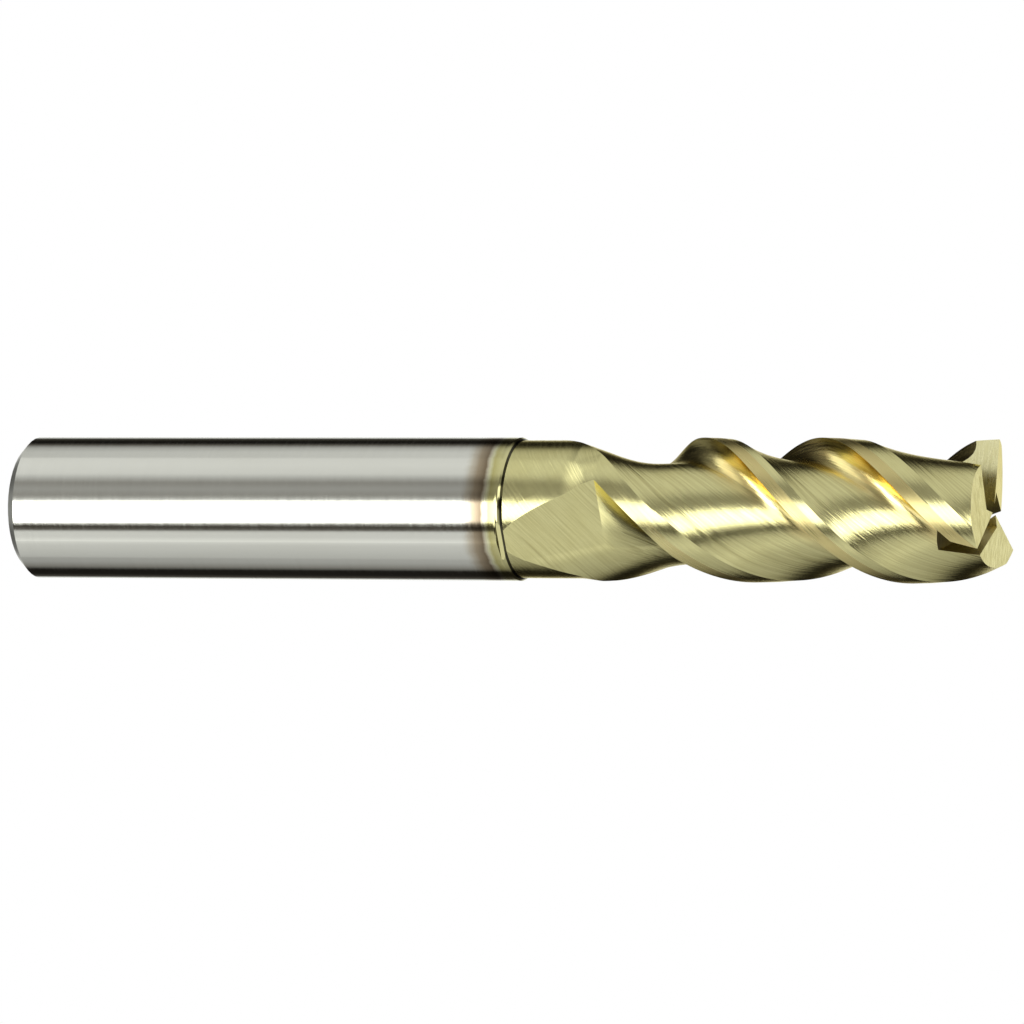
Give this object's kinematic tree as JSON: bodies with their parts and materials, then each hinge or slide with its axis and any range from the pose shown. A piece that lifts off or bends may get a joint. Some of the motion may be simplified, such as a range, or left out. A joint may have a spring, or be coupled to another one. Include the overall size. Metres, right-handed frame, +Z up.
{
  "type": "end mill",
  "caption": "Square end mill with a plain round shank, a short relieved neck and a coated right-hand helical cutting head with gashed end teeth.",
  "frame": {"origin": "centre of the shank's flat rear face, on the tool axis", "axes": "+X along the tool axis towards the cutting tip, +Z up, -Y towards the side that is usually looked at"},
  "size_m": [0.086, 0.012, 0.012],
  "materials": {
    "ground_carbide": "bare ground tungsten carbide, bright, fine round grinding marks",
    "pale_gold_coating": "pale gold nitride coating a few micrometres thick over ground carbide"
  },
  "bodies": {
    "root": {"shank": "ground_carbide", "neck": "pale_gold_coating", "cutting_head": "pale_gold_coating"}
  },
  "joints": []
}
